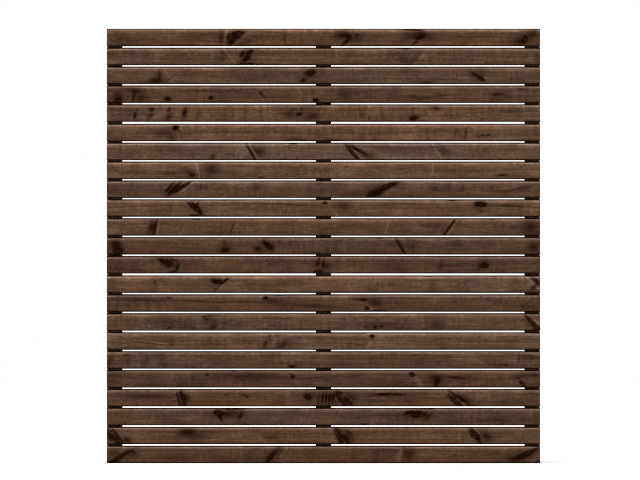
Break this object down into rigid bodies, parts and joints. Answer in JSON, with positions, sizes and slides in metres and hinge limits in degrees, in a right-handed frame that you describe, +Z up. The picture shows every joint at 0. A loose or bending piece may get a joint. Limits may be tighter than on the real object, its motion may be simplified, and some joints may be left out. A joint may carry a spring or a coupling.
{
  "type": "garden privacy screen",
  "caption": "Slatted wooden panel that shields a garden or terrace from view: sloped horizontal slats with narrow gaps, screwed from behind to upright battens.",
  "frame": {"origin": "on the ground, under the middle of the panel's width and depth", "axes": "+Z up, +X along the slats to the right as seen from the front, the front faces -Y and the battens are at +Y"},
  "size_m": [1.795, 0.049, 1.8],
  "materials": {
    "slat_wood": "planed softwood, pressure-treated and stained dark brown, matt, knots and grain show through",
    "batten_wood": "planed softwood, stained dark brown like the slats, matt",
    "screw_steel": "zinc-plated and yellow-passivated wood screws, slightly dull"
  },
  "bodies": {
    "root": {"slat_01": "slat_wood", "slat_02": "slat_wood", "slat_03": "slat_wood", "slat_04": "slat_wood", "slat_05": "slat_wood", "slat_06": "slat_wood", "slat_07": "slat_wood", "slat_08": "slat_wood", "slat_09": "slat_wood", "slat_10": "slat_wood", "slat_11": "slat_wood", "slat_12": "slat_wood", "slat_13": "slat_wood", "slat_14": "slat_wood", "slat_15": "slat_wood", "slat_16": "slat_wood", "slat_17": "slat_wood", "slat_18": "slat_wood", "slat_19": "slat_wood", "slat_20": "slat_wood", "slat_21": "slat_wood", "slat_22": "slat_wood", "slat_23": "slat_wood", "batten_left": "batten_wood", "batten_middle": "batten_wood", "batten_right": "batten_wood", "screws_left": "screw_steel", "screws_middle": "screw_steel", "screws_right": "screw_steel"}
  },
  "joints": []
}
